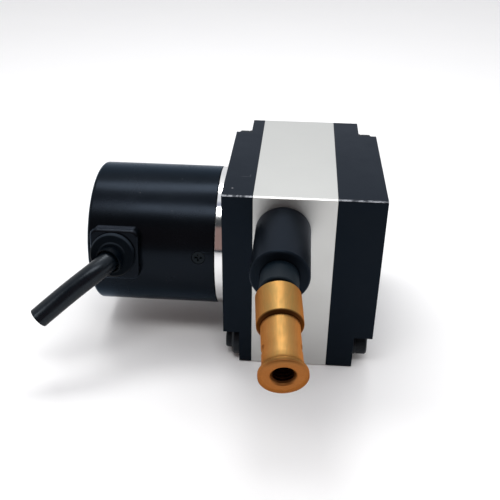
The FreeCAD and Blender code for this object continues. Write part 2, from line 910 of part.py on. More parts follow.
def encoder_bearings():
    """Two ball bearings in the flange's tube, with a gap between them."""
    first = flange_x0 - encoder_bearing_w
    second = first - encoder_bearing_gap - encoder_bearing_w
    pair = [bearing(x0, encoder_bearing_w, encoder_bearing_r, encoder_shaft_r) for x0 in (first, second)]
    return [b[0] for b in pair], [b[1] for b in pair], pair[0][2] + pair[1][2]


def disc_hub():
    """The hub that carries the disc on the shaft."""
    x0 = disc_x1 - disc_hub_length
    hub = x_ring(x0, disc_x1, disc_hub_r, encoder_shaft_r)
    return hub.cut(x_ring(disc_x1 - disc_t, disc_x1 + past, disc_hub_r + past, disc_bore_r))


def code_disc():
    """The glass disc."""
    return x_ring(disc_x1 - disc_t, disc_x1, disc_r, disc_bore_r)


def optical_head():
    """The forked block that reads the disc at its rim, on the board's face."""
    slot_middle = disc_x1 - disc_t / 2
    x1 = slot_middle + head_slot / 2 + head_jaw_t
    z0 = axis_z + disc_r - head_overlap
    half = head_size / 2
    block = box(board_x1, x1, -half, half, z0, z0 + head_size)
    slot_x0 = slot_middle - head_slot / 2
    slot_x1 = slot_middle + head_slot / 2
    slot_top = axis_z + disc_r + head_slot_clearance
    return block.cut(box(slot_x0, slot_x1, -half - past, half + past, z0 - past, slot_top))


def encoder_board():
    """The round circuit board, with a hole for the disc's hub."""
    board = x_ring(board_x0, board_x1, board_r, disc_hub_r + board_hub_clearance)
    hole = board_screw_shank(board_screw_clearance)
    return cut_all(board, ring_of(hole, flange_screw_count, standoff_start_deg))


def standoffs():
    """The posts between the spigot and the board."""
    post = x_rod(board_x1, spigot_x0, standoff_r, -standoff_pitch_r).cut(board_screw_shank(0))
    return ring_of(post, flange_screw_count, standoff_start_deg)


def board_screw_shank(extra):
    """The shank of a board screw through the board into its post."""
    return x_rod(board_x0, board_x0 + board_screw_length, board_screw_r + extra, -standoff_pitch_r)


def board_screws():
    """The small pan-head screws."""
    head = x_rod(board_x0 - board_screw_head_h, board_x0, board_screw_head_r, -standoff_pitch_r)
    screw = head.fuse(board_screw_shank(0)).removeSplitter()
    return ring_of(screw, flange_screw_count, standoff_start_deg)


def turn_encoder(shape):
    """Turns a shape made facing -Y to the place of the encoder's screws."""
    return around_axis(shape, -encoder_turn_deg)


def turn_pad(shape):
    """Turns a shape made facing -Y to the place of the cable pad."""
    return around_axis(shape, -pad_turn_deg)


def cable_pad():
    """The flat-faced pad on the cover, with rounded corners."""
    x0 = encoder_x0 + pad_inset
    half = pad_half_width
    pad = box(x0, x0 + pad_length, -pad_reach, -cover_inner_r, axis_z - half, axis_z + half)
    pad = pad.makeFillet(pad_corner_r, straight_edges(pad, ALONG_Y))
    face = min(pad.Faces, key=lambda f: f.CenterOfMass.y)
    return pad.makeFillet(pad_edge_r, face.Edges)


def grommet_place():
    """The middle of the grommet's hole on the pad's face, before the pad is turned."""
    return Vec(grommet_x, -pad_reach, axis_z)


def encoder_cover():
    """The deep cup that closes the encoder, with the cable pad and screw seats."""
    cup = x_rod(encoder_x0, flange_x0, encoder_r)
    rear = min(round_edges(cup), key=lambda e: e.CenterOfMass.x)
    cup = cup.makeFillet(cover_edge_r, [rear]).fuse(turn_pad(cable_pad())).removeSplitter()
    cup = cup.cut(x_rod(encoder_x0 + cover_end_t, flange_x0 + past, cover_inner_r))
    hole_r = grommet_neck_r + grommet_neck_clearance
    outside = grommet_place() - ALONG_Y * past
    cup = cup.cut(turn_pad(rod(outside, Vec(grommet_x, 0, axis_z), hole_r)))
    return cut_all(cup, [turn_encoder(s) for s in ring_of(cover_screw_seat(), cover_screw_count)])


def cover_screw_place(r):
    """A point on one cover screw's axis, before the encoder is clocked."""
    return Vec(flange_x0 - cover_screw_at, -r, axis_z)


def cover_screw_thread():
    """The tapped hole of a cover screw in the spigot."""
    inside = cover_screw_place(spigot_r - spigot_wall - past)
    return rod(inside, cover_screw_place(encoder_r), cover_screw_r)


def cover_screw_seat():
    """The hole and the flat seat of a cover screw in the cover."""
    inside = cover_screw_place(spigot_r - spigot_wall)
    outside = cover_screw_place(encoder_r + past)
    floor = cover_screw_place(encoder_r - cover_screw_head_h)
    hole = rod(inside, outside, cover_screw_r + cover_screw_clearance)
    return hole.fuse(rod(floor, outside, cover_screw_head_r + cover_screw_clearance))


def cover_screw():
    """A small flat-headed screw with a cross recess."""
    floor_r = encoder_r - cover_screw_head_h
    top_r = encoder_r - cover_screw_sunk
    tip_r = floor_r - cover_screw_length
    head = rod(cover_screw_place(floor_r), cover_screw_place(top_r), cover_screw_head_r)
    shank = rod(cover_screw_place(tip_r), cover_screw_place(floor_r), cover_screw_r)
    screw = head.fuse(shank).removeSplitter()
    x = cover_screw_place(0).x
    half_l = cross_recess_l / 2
    half_w = cross_recess_w / 2
    for half_x, half_z in ((half_l, half_w), (half_w, half_l)):
        y0 = -top_r - past
        y1 = -top_r + cross_recess_depth
        screw = screw.cut(box(x - half_x, x + half_x, y0, y1, axis_z - half_z, axis_z + half_z))
    return screw


# Grommet and cable

def boot_direction():
    """The direction in which the cable passes through the grommet."""
    return (cable_route[2] - cable_route[1]).normalize()


def cable_grommet():
    """Rubber grommet: a face ring, a neck in the pad's hole, and an inclined boot with a wide mouth."""
    neck_end = pad_reach - cover_inner_r + grommet_inner_reach
    profile = [
        (-grommet_t, 0),
        (-grommet_t, grommet_r - grommet_edge),
        (grommet_edge - grommet_t, grommet_r),
        (0, grommet_r),
        (0, grommet_neck_r),
        (neck_end, grommet_neck_r),
        (neck_end, 0),
    ]
    along = boot_direction()
    end = cable_route[2] - along * boot_to_bend
    boot = rod(end - along * boot_length, end, boot_r)
    mouth = rod(end - along * boot_mouth_depth, end + along * past, boot_mouth_r)
    body = turn_pad(turned(profile, grommet_place(), ALONG_Y)).fuse(boot).removeSplitter()
    return body.cut(mouth).cut(cable_tube(cable_r + cable_fit))


def cable_path():
    """Straight runs joined by tangent arcs, each as large as its two runs allow."""
    edges = []
    here = cable_route[0]
    for i in range(1, len(cable_route) - 1):
        corner = cable_route[i]
        back = corner - cable_route[i - 1]
        on = cable_route[i + 1] - corner
        turn = back.getAngle(on)
        trim = 0.45 * min(back.Length, on.Length)
        radius = trim / math.tan(turn / 2)
        into = back.normalize()
        out = on.normalize()
        arc_start = corner - into * trim
        arc_end = corner + out * trim
        middle = corner + (out - into).normalize() * (radius / math.cos(turn / 2) - radius)
        edges.append(Part.LineSegment(here, arc_start).toShape())
        edges.append(Part.Arc(arc_start, middle, arc_end).toShape())
        here = arc_end
        print("cable arc radius", round(radius, 1), "turn", round(math.degrees(turn), 1))
    edges.append(Part.LineSegment(here, cable_route[-1]).toShape())
    return Part.Wire(edges)


def cable_tube(r):
    """A round bar along the cable's path."""
    section = Part.Wire(Part.makeCircle(r, cable_route[0], cable_route[1] - cable_route[0]))
    return cable_path().makePipeShell([section], True, False)


def signal_cable():
    """The cut lead: a round jacket that ends square, with the cores flush in its end."""
    cable = cable_tube(cable_r)
    length = cable_path().Length
    share = cable.Volume / (math.pi * cable_r ** 2 * length)
    print("cable length", round(length, 2), "volume share", round(share, 4))
    return cut_all(cable, cable_cores())


def cable_cores():
    """The insulated cores, as far as they show at the cut end."""
    end = cable_route[-1]
    back = (cable_route[-2] - end).normalize()
    side = back.cross(ALONG_Z).normalize()
    up = side.cross(back)
    cores = []
    for i in range(core_count):
        a = 2 * math.pi * i / core_count
        middle = end + side * (core_ring_r * math.cos(a)) + up * (core_ring_r * math.sin(a))
        cores.append(rod(middle + back * core_shown_length, middle, core_r))
    return cores


def write(name, shape):
    """Writes one node, from one solid or a list of them."""
    body = Part.makeCompound(shape) if isinstance(shape, list) else shape
    if not all(solid.isValid() for solid in body.Solids):
        print("not valid:", name)
    print(name, "solids", len(body.Solids), "volume", round(body.Volume, 2))
    body.exportStep("parts/" + name + ".step")


def write_bearing(name, x0, width, outer_r, bore_r):
    """Writes the three nodes of one bearing."""
    outer, inner, balls = bearing(x0, width, outer_r, bore_r)
    write(name + "_outer", outer)
    write(name + "_inner", inner)
    write(name + "_balls", balls)


def build():
    """Makes every node."""
    os.makedirs("parts", exist_ok=True)
    write("encoder_plate", encoder_plate())
    write("body_frame", body_frame())
    write("spring_cover", spring_cover())
    write("encoder_plate_screws", plate_screws(plate_face_x, -1))
    write("spring_cover_screws", plate_screws(cover_face_x, 1))
    write("screw_lock_washers", lock_washers())
    write("screw_collar", screw_collar())

    write("wire_nozzle", wire_nozzle())
    write("outlet_bush", outlet_bush())
    write("wire_eyelet", wire_eyelet())
    write("wiper_felt", wiper_felt())
    write("measuring_wire", measuring_wire())
    write("wire_ferrule", wire_ferrule())
    write("end_fitting", end_fitting())

    write("wound_wire", wound_wire())
    write("drum", drum())
    write("drum_shaft", drum_shaft())
    write("drum_set_screw", drum_set_screw())
    write("retaining_ring", retaining_ring())
    write_bearing("left_bearing", bearing_x0, left_bearing_w, left_bearing_r, left_bearing_bore_r)
    write_bearing("right_bearing", right_bearing_x0, right_bearing_w, right_bearing_r, right_bearing_bore_r)
    write("spring_arbor", spring_arbor())
    write("arbor_pin", arbor_pin())
    write("mainspring", mainspring())
    write("spring_partition", spring_partition())
    write("spring_barrel", spring_barrel())

    write("encoder_flange", encoder_flange())
    write("flange_screws", flange_screws())
    write("encoder_shaft", encoder_shaft())
    outers, inners, balls = encoder_bearings()
    write("encoder_bearing_outers", outers)
    write("encoder_bearing_inners", inners)
    write("encoder_bearing_balls", balls)
    write("disc_hub", disc_hub())
    write("code_disc", code_disc())
    write("optical_head", turn_encoder(optical_head()))
    write("encoder_board", encoder_board())
    write("board_standoffs", standoffs())
    write("board_screws", board_screws())
    write("encoder_cover", encoder_cover())
    write("cover_screws", [turn_encoder(s) for s in ring_of(cover_screw(), cover_screw_count)])
    write("cable_grommet", cable_grommet())
    write("signal_cable", signal_cable())
    write("cable_cores", cable_cores())


build()
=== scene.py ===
"""Looks of the draw wire encoder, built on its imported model."""
import json
import math
import bmesh
import bpy
from mathutils import Matrix, Vector


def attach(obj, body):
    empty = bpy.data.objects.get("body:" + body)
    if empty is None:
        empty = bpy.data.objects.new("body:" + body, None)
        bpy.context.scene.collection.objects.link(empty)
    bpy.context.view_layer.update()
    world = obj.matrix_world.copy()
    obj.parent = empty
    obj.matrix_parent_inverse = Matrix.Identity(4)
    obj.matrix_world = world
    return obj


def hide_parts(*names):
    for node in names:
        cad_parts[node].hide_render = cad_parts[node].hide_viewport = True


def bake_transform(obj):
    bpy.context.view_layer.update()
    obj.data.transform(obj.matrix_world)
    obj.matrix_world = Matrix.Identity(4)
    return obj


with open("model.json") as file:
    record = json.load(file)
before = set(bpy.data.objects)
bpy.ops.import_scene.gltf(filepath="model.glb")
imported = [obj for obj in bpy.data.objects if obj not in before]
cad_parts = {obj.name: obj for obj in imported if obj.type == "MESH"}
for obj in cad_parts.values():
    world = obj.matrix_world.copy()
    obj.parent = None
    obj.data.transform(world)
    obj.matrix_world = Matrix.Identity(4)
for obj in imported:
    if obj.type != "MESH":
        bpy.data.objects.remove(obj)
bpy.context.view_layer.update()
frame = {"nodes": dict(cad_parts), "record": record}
nodes = frame["nodes"]
mm = 0.001
mm_per_m = 1000.0


def vec(x, y, z):
    """A point given in millimetres."""
    return Vector((x, y, z)) * mm


# Places and sizes on the part, in millimetres

drum_axis = Vector((1, 0, 0))
outlet = Vector((0, -1, 0))
up = Vector((0, 0, 1))

drum_axis_z = 25.0
pitch_r = 100.0 / (2 * math.pi)
wire_x = -2.6
wire_z = drum_axis_z + pitch_r
on_axis = vec(0, 0, drum_axis_z)

housing_half = 25.0
housing_top = 50.0
to_front_top = Vector((0, -1, 1)).normalized()

# The end fitting hangs from its pivot, swung a little sideways and down
fitting_swing = math.tan(math.radians(5.3))
fitting_droop = math.tan(math.radians(9.4))
fitting_pivot = vec(wire_x, -52.3, wire_z)
fitting_axis = Vector((fitting_swing, -1.0, -fitting_droop)).normalized()

# The cable leaves a pad that is turned up a little on the encoder's cover
pad_turn = math.radians(12.6)
pad_up = Vector((0, math.sin(pad_turn), math.cos(pad_turn)))
pad_out = Vector((0, -math.cos(pad_turn), math.sin(pad_turn)))
pad_middle_x = -46.2
cable_r = 2.7
cable_route = [
    vec(-44.8, -13.1, 29.7),
    vec(-45.8, -18.7, 29.1),
    vec(-47.4, -24.2, 28.7),
    vec(-51.2, -28.0, 26.8),
    vec(-57.4, -31.1, 22.4),
    vec(-63.1, -33.9, 17.9),
]


# Camera: the photograph's own viewing angle

view_direction = Vector((-0.06231, 0.85269, -0.51869)).normalized()
camera_place = vec(0.16353, -171.71065, 124.60155)
camera_roll = 0.00797
focal_px = 702.397
frame_px = 500
sensor_mm = 36.0
nearest_m = 0.01
farthest_m = 20.0


def place_camera():
    """Puts the camera where the photograph was taken from."""
    level = view_direction.cross(up).normalized()
    above = level.cross(view_direction)
    right = level * math.cos(camera_roll) + above * math.sin(camera_roll)
    top = above * math.cos(camera_roll) - level * math.sin(camera_roll)
    data = bpy.data.cameras.new("camera")
    data.sensor_fit = "HORIZONTAL"
    data.sensor_width = sensor_mm
    data.lens = focal_px / frame_px * sensor_mm
    data.clip_start = nearest_m
    data.clip_end = farthest_m
    camera = bpy.data.objects.new("camera", data)
    turn = Matrix((right, top, -view_direction)).transposed()
    camera.matrix_world = Matrix.Translation(camera_place) @ turn.to_4x4()
    bpy.context.scene.collection.objects.link(camera)
    bpy.context.scene.camera = camera


place_camera()


# Mesh helpers

lathe_sides = 160
lathe_sharp_deg = 32.0
corner_share = 0.45
least_trim = 1e-4
least_turn = 0.12
nearly_upright = 0.9


def side_axes(along):
    """Two directions square to one another and to a third."""
    helper = up if abs(along.z) < nearly_upright else drum_axis
    first = along.cross(helper).normalized()
    return first, along.cross(first).normalized()


def new_object(name, data):
    """Links a new object to the scene."""
    piece = bpy.data.objects.new(name, data)
    bpy.context.scene.collection.objects.link(piece)
    return piece


def built(bm, name, sharp_deg=None):
    """Turns the built faces into an object, shaded smooth up to an angle if one is given."""
    bmesh.ops.recalc_face_normals(bm, faces=bm.faces)
    mesh = bpy.data.meshes.new(name)
    bm.to_mesh(mesh)
    bm.free()
    if sharp_deg is not None:
        mesh.polygons.foreach_set("use_smooth", [True] * len(mesh.polygons))
        mesh.set_sharp_from_angle(angle=math.radians(sharp_deg))
    return new_object(name, mesh)


def add_ring(bm, middle, along, radii):
    """Adds a ring of points round a middle, one for each radius in millimetres."""
    first, second = side_axes(along)
    ring = []
    for k, radius in enumerate(radii):
        a = 2 * math.pi * k / len(radii)
        outward = first * math.cos(a) + second * math.sin(a)
        ring.append(bm.verts.new(middle + outward * (radius * mm)))
    return ring


def join_rings(bm, rings, closed=False):
    """Adds the faces between neighbouring rings, and from the last to the first if closed."""
    neighbours = rings[1:] + rings[:1] if closed else rings[1:]
    for ring, other in zip(rings, neighbours):
        for k in range(len(ring)):
            n = (k + 1) % len(ring)
            bm.faces.new((ring[k], ring[n], other[n], other[k]))


def rounded(profile, radius, steps=4):
    """A closed profile with its corners rounded, as far as its sides leave room."""
    points = []
    count = len(profile)
    for i, corner in enumerate(profile):
        here = Vector(corner)
        back = Vector(profile[i - 1]) - here
        on = Vector(profile[(i + 1) % count]) - here
        turn = math.pi - back.angle(on)
        room = corner_share * min(back.length, on.length)
        trim = min(radius * math.tan(turn / 2), room)
        if trim < least_trim or turn < least_turn:
            points.append(tuple(here))
            continue
        arc = trim / math.tan(turn / 2)
        inward = (back.normalized() + on.normalized()).normalized()
        middle = here + inward * (arc / math.cos(turn / 2))
        first = here + back.normalized() * trim - middle
        last = here + on.normalized() * trim - middle
        for k in range(steps + 1):
            outward = first.lerp(last, k / steps)
            points.append(tuple(middle + outward * (first.length / outward.length)))
    return points


def add_lathe(bm, profile, origin, along, sides):
    """Adds a ring turned from a closed profile of (distance, radius) in millimetres."""
    rings = []
    for distance, radius in profile:
        rings.append(add_ring(bm, origin + along * (distance * mm), along, [radius] * sides))
    join_rings(bm, rings, closed=True)


def lathe(name, profile, origin, along, radius):
    """A turned ring as an object of its own."""
    bm = bmesh.new()
    add_lathe(bm, rounded(profile, radius), origin, along.normalized(), lathe_sides)
    return built(bm, name, lathe_sharp_deg)


# Node helpers. Each value is a socket or a constant.

def feed(tree, socket, value):
    """Links or sets one socket."""
    if isinstance(value, bpy.types.NodeSocket):
        tree.links.new(value, socket)
    else:
        socket.default_value = value


def calculate(tree, operation, *values, clamp=False):
    """One step of arithmetic."""
    node = tree.nodes.new("ShaderNodeMath")
    node.operation = operation
    node.use_clamp = clamp
    for socket, value in zip(node.inputs, values):
        feed(tree, socket, value)
    return node.outputs[0]


def mix_colours(tree, share, low, high):
    """A mix of two colours. Sockets 0, 6 and 7 are the share and the colours, 2 the result."""
    node = tree.nodes.new("ShaderNodeMix")
    node.data_type = "RGBA"
    feed(tree, node.inputs[0], share)
    feed(tree, node.inputs[6], low)
    feed(tree, node.inputs[7], high)
    return node.outputs[2]


# Materials

class Finish:
    """One procedural material, built up from layers."""

    def __init__(self, name, colour, metallic, roughness, **sockets):
        self.material = bpy.data.materials.new(name)
        self.material.use_nodes = True
        self.tree = self.material.node_tree
        self.shader = self.tree.nodes["Principled BSDF"]
        self.shader.inputs["Metallic"].default_value = metallic
        for key, value in sockets.items():
            self.shader.inputs[key.replace("_", " ")].default_value = value
        self.place = self.add("TexCoord").outputs["Object"]
        self.colour = self.add("RGB").outputs[0]
        self.colour.default_value = (*colour, 1.0)
        self.roughness = self.add("Value").outputs[0]
        self.roughness.default_value = roughness
        self.height = None

    def add(self, kind, settings=(), **values):
        """A new node, with some of its sockets set or linked."""
        node = self.tree.nodes.new("ShaderNode" + kind)
        for key, value in dict(settings).items():
            setattr(node, key, value)
        for key, value in values.items():
            feed(self.tree, node.inputs[key.replace("_", " ")], value)
        return node

    def math(self, operation, *values, clamp=False):
        """One step of arithmetic."""
        return calculate(self.tree, operation, *values, clamp=clamp)

    def vector(self, operation, *values, output="Vector"):
        """One step of vector arithmetic."""
        node = self.add("VectorMath", {"operation": operation})
        for socket, value in zip(node.inputs, values):
            feed(self.tree, socket, value)
        return node.outputs[output]

    # Masks, from 0 to 1

    def noise(self, size_mm, detail=2.0, rough=0.5, scale=(1, 1, 1)):
        """Noise with features of about the size given."""
        place = self.place
        if scale != (1, 1, 1):
            place = self.add("Mapping", Vector=self.place, Scale=scale).outputs["Vector"]
        node = self.add("TexNoise", Vector=place, Scale=mm_per_m / size_mm, Detail=detail,
                        Roughness=rough)
        return node.outputs["Fac"]

    def band(self, value, low, high, to_low=0.0, to_high=1.0):
        """Maps a range to another and clamps it."""
        node = self.add("MapRange", Value=value, From_Min=low, From_Max=high,
                        To_Min=to_low, To_Max=to_high)
        return node.outputs["Result"]

    def product(self, mask, *others):
        """Masks multiplied together."""
        for other in others:
            mask = self.math("MULTIPLY", mask, other)
        return mask

    def window(self, value, rise, fall):
        """High between a rise and a fall, each of them a range."""
        return self.product(self.band(value, *rise), self.band(value, *fall))

    def spot(self, place, radius_mm, stretch=(1, 1, 1)):
        """A soft mask round one point."""
        offset = self.vector("SUBTRACT", self.place, place)
        offset = self.vector("MULTIPLY", offset, stretch)
        length = self.vector("LENGTH", offset, output="Value")
        return self.band(length, radius_mm * mm, radius_mm * 0.3 * mm)

    # Measures, in millimetres

    def along(self, origin, axis):
        """Distance along an axis from a point."""
        offset = self.vector("SUBTRACT", self.place, origin)
        return self.math("MULTIPLY", self.vector("DOT_PRODUCT", offset, axis, output="Value"), mm_per_m)

    def reach(self, origin, axis):
        """Distance from an axis."""
        offset = self.vector("SUBTRACT", self.place, origin)
        squares = []
        for direction in side_axes(Vector(axis)):
            part = self.vector("DOT_PRODUCT", offset, direction, output="Value")
            squares.append(self.math("MULTIPLY", part, part))
        return self.math("MULTIPLY", self.math("SQRT", self.math("ADD", *squares)), mm_per_m)

    # Layers

    def tint(self, mask, colour, share=1.0):
        """Mixes a colour in where the mask is high."""
        amount = self.math("MULTIPLY", mask, share, clamp=True)
        self.colour = mix_colours(self.tree, amount, self.colour, (*colour, 1.0))

    def roughen(self, mask, change):
        """Raises or lowers the roughness where the mask is high."""
        self.roughness = self.math("MULTIPLY_ADD", mask, change, self.roughness, clamp=True)

    def emboss(self, mask, depth_mm):
        """Adds a height layer."""
        layer = self.math("MULTIPLY", mask, depth_mm * mm)
        self.height = layer if self.height is None else self.math("ADD", self.height, layer)

    def clouds(self, size_mm, colour, share, rough_change):
        """Broad soft change of colour and gloss, as from handling."""
        mask = self.band(self.noise(size_mm, 3.0, 0.55), 0.35, 0.68)
        self.tint(mask, colour, share)
        self.roughen(mask, rough_change)

    def grain(self, size_mm, depth_mm, detail=2.0, scale=(1, 1, 1)):
        """Fine grain as bump."""
        self.emboss(self.noise(size_mm, detail, 0.6, scale), depth_mm)

    def dust(self, spacing_mm, colour, share, size=0.045):
        """Sparse tiny specks."""
        node = self.add("TexVoronoi", {"feature": "F1"}, Vector=self.place,
                        Scale=mm_per_m / spacing_mm)
        speck = self.band(node.outputs["Distance"], size, size * 0.4)
        mask = self.product(speck, self.band(node.outputs["Color"], 0.55, 0.6))
        self.tint(mask, colour, share)
        self.roughen(mask, 0.2)

    def tool_marks(self, origin, axis, pitch_mm, depth_mm, rough_change=0.05):
        """Fine rings round an axis, as a lathe leaves them."""
        both = self.math("ADD", self.along(origin, axis), self.reach(origin, axis))
        node = self.add("TexNoise", {"noise_dimensions": "1D"}, W=both, Scale=1.0 / pitch_mm,
                        Detail=3.0, Roughness=0.7)
        mask = self.band(node.outputs["Fac"], 0.3, 0.7)
        self.emboss(mask, depth_mm)
        self.roughen(mask, rough_change)

    def done(self):
        """Joins the layers to the shader."""
        feed(self.tree, self.shader.inputs["Base Color"], self.colour)
        feed(self.tree, self.shader.inputs["Roughness"], self.roughness)
        if self.height is not None:
            bump = self.add("Bump", Height=self.height, Strength=1.0, Distance=1.0)
            feed(self.tree, self.shader.inputs["Normal"], bump.outputs["Normal"])
        return self.material


cool_gloss = (0.8, 0.9, 1.0, 1.0)
plate_rim = (0.8, 0.84, 0.92, 1.0)
cover_rim = (0.6, 0.67, 0.76, 1.0)
gold_rim = (1.0, 0.6, 0.42, 1.0)

# Looks with one colour under clouds and grain. Each row has the colour, metallic and roughness,
# then what clouds() and grain() are given, and the shader's other sockets.
plain_looks = {
    "black_screw": (
        (0.0025, 0.004, 0.006), 0.0, 0.32,
        (1.2, (0.008, 0.01, 0.012), 0.5, 0.12), (0.08, 0.002),
        {"Specular_IOR_Level": 0.22, "Specular_Tint": cool_gloss}),
    "cover_screw_black": (
        (0.001, 0.003, 0.005), 0.0, 0.25,
        (0.8, (0.003, 0.006, 0.009), 0.5, 0.15), (0.06, 0.002),
        {"Specular_IOR_Level": 0.16, "Specular_Tint": cool_gloss}),
    "ceramic": (
        (0.8, 0.78, 0.73), 0.0, 0.18,
        (1.0, (0.7, 0.67, 0.6), 0.4, 0.05), (0.1, 0.0005), {"Coat_Weight": 0.4}),
    "felt": (
        (0.5, 0.48, 0.42), 0.0, 0.95,
        (0.8, (0.36, 0.34, 0.29), 0.7, 0.0), (0.12, 0.03, 4.0), {"Sheen_Weight": 0.5}),
    "core_insulation": (
        (0.42, 0.08, 0.05), 0.0, 0.35, (0.6, (0.3, 0.05, 0.03), 0.5, 0.1), (0.05, 0.001), {}),
    "core_filler": (
        (0.55, 0.54, 0.5), 0.0, 0.9, (0.5, (0.4, 0.39, 0.36), 0.6, 0.0), (0.08, 0.02, 4.0), {}),
    "copper": (
        (0.85, 0.4, 0.24), 1.0, 0.3, (0.3, (0.6, 0.26, 0.15), 0.5, 0.1), (0.03, 0.001), {}),
    "spring_steel": (
        (0.3, 0.33, 0.4), 1.0, 0.28,
        (5.0, (0.36, 0.3, 0.24), 0.5, 0.1), (0.15, 0.001, 2.0, (1.0, 0.1, 0.1)), {}),
    "plain_plastic": (
        (0.78, 0.78, 0.75), 0.0, 0.45, (5.0, (0.7, 0.7, 0.66), 0.5, 0.08), (0.2, 0.002), {}),
    "glass": (
        (0.86, 0.92, 0.93), 0.0, 0.08,
        (5.0, (0.8, 0.86, 0.88), 0.4, 0.04), (0.4, 0.0003),
        {"Transmission_Weight": 0.7, "IOR": 1.5}),
    "board_green": (
        (0.02, 0.16, 0.06), 0.0, 0.3,
        (3.0, (0.015, 0.11, 0.04), 0.6, 0.08), (0.3, 0.003), {"Coat_Weight": 0.3}),
    "dark_plastic": (
        (0.025, 0.025, 0.027), 0.0, 0.42, (2.0, (0.04, 0.04, 0.042), 0.5, 0.08), (0.12, 0.003), {}),
    "brass": (
        (0.72, 0.5, 0.2), 1.0, 0.28, (1.5, (0.58, 0.38, 0.14), 0.5, 0.1), (0.08, 0.001), {}),
    "wire_steel": (
        (0.55, 0.55, 0.54), 1.0, 0.3, (1.0, (0.42, 0.42, 0.41), 0.5, 0.1), (0.05, 0.002), {}),
    "steel": (
        (0.56, 0.56, 0.57), 1.0, 0.27, (2.5, (0.46, 0.46, 0.46), 0.5, 0.1), (0.1, 0.001), {}),
}


def plain_look(name):
    """A finish from its row in the table."""
    colour, metallic, roughness, clouds, grain, sockets = plain_looks[name]
    f = Finish(name, colour, metallic, roughness, **sockets)
    f.clouds(*clouds)
    f.grain(*grain)
    return f.done()


def black_anodised():
    """Plates and nozzle, with one light speck, two scratches and a pale front edge on top: bare-metal
    wear and a painted highlight.
    """
    f = Finish("black_anodised", (0.0066, 0.0097, 0.0142), 0.8, 0.38,
               Specular_IOR_Level=0.02, Specular_Tint=plate_rim)
    f.clouds(9.0, (0.0092, 0.0124, 0.017), 0.5, 0.06)
    f.grain(0.12, 0.0035, 3.0)
    f.grain(0.6, 0.002, 2.0)
    f.dust(2.6, (0.2, 0.2, 0.21), 0.3)
    f.tint(f.spot(vec(-15.2, -20.9, housing_top), 0.3), (0.3, 0.3, 0.31))
    scratch_length, scratch = 1.5, (0.09, 0.095, 0.105)
    for x, y, thinner in ((-12.6, -14.2, (1.0, 9.0, 1.0)), (-11.4, -13.6, (7.0, 1.6, 1.0))):
        f.tint(f.spot(vec(x, y, housing_top), scratch_length, thinner), scratch, 0.5)
    front_top = vec(0, -housing_half, housing_top)
    # The edge's broken corner lies a little inside the sharp one
    chamfer = f.band(f.along(front_top, to_front_top), -0.34, -0.29)
    near_top = f.band(f.along(vec(0, 0, housing_top), up), -0.32, -0.25)
    wear_and_highlight_breakup = f.band(f.noise(1.8, 4.0, 0.75), 0.44, 0.6, 0.16, 1.0)
    # Pale line on the front-top chamfer: bare-metal wear with a painted highlight, broken up by noise.
    f.tint(f.product(chamfer, near_top, wear_and_highlight_breakup), (0.24, 0.25, 0.27), 0.95)
    return f.done()


def black_bush():
    """The small bush that stands out of the nozzle."""
    f = Finish("black_bush", (0.0015, 0.0055, 0.0095), 0.0, 0.45,
               Specular_IOR_Level=0.15, Specular_Tint=cool_gloss)
    f.clouds(3.0, (0.006, 0.009, 0.013), 0.5, 0.08)
    f.tool_marks(vec(wire_x, 0, wire_z), outlet, 0.16, 0.0015)
    f.grain(0.1, 0.001)
    return f.done()


def silver_anodised():
    """The middle body, with a fine satin grain."""
    f = Finish("silver_anodised", (0.58, 0.585, 0.57), 1.0, 0.4)
    f.clouds(14.0, (0.545, 0.55, 0.535), 0.6, 0.05)
    f.grain(0.09, 0.003, 3.0)
    f.grain(0.5, 0.0015, 2.0, (1.0, 0.25, 0.25))
    f.dust(3.4, (0.3, 0.3, 0.3), 0.35, 0.035)
    return f.done()


def gold_anodised():
    """The end fitting, drawn lengthwise, with a painted highlight along its top and painted shade under
    its steps, on its end face and in its threaded hole.
    """
    f = Finish("gold_anodised", (0.42, 0.19, 0.062), 1.0, 0.46, Specular_Tint=gold_rim)
    f.clouds(3.0, (0.35, 0.135, 0.036), 0.5, 0.05)
    station = f.along(fitting_pivot, fitting_axis)
    reach = f.reach(fitting_pivot, fitting_axis)
    above = f.along(fitting_pivot, fitting_axis.cross(drum_axis).normalized())
    # Painted highlight: the upper side of the fitting made lighter and yellower.
    f.tint(f.band(above, 2.6, 4.1), (0.29, 0.19, 0.063), 0.85)
    drawn = f.band(f.noise(0.5, 3.0, 0.6, (1.0, 0.04, 1.0)), 0.4, 0.62)
    f.tint(drawn, (0.46, 0.2, 0.055), 0.3)
    f.roughen(drawn, -0.06)
    f.tool_marks(fitting_pivot, fitting_axis, 0.14, 0.002)
    f.grain(0.12, 0.0012)

    # Painted shade on the face of the step between the wide head and the neck.
    step_face_shade = f.product(f.window(station, (7.9, 8.3), (9.4, 8.8)), f.band(reach, 3.9, 4.1))
    f.tint(step_face_shade, (0.035, 0.009, 0.002), 0.95)
    # Painted shade where the neck flares into the flange.
    under_flange_shade = f.window(station, (18.9, 20.0), (20.7, 20.4))
    f.tint(under_flange_shade, (0.19, 0.075, 0.02), 0.5)
    # Painted shade on the flange's end face.
    end_face_shade = f.band(station, 20.4, 20.9)
    f.tint(end_face_shade, (0.28, 0.1, 0.027), 0.7)
    # Painted shade inside the threaded hole; the same mask also carries the thread's bump.
    bore_shade_and_thread = f.product(f.band(station, 13.0, 13.8), f.band(reach, 2.6, 2.2))
    f.tint(bore_shade_and_thread, (0.03, 0.009, 0.003), 0.95)

    thread_pitch = 0.8
    turns = f.math("SINE", f.math("MULTIPLY", station, 2 * math.pi / thread_pitch))
    f.emboss(f.product(bore_shade_and_thread, turns), 0.08)
    rim = f.band(reach, 3.6, 4.85)
    f.emboss(f.product(rim, rim, f.band(station, 20.1, 20.95)), -0.55)
    return f.done()


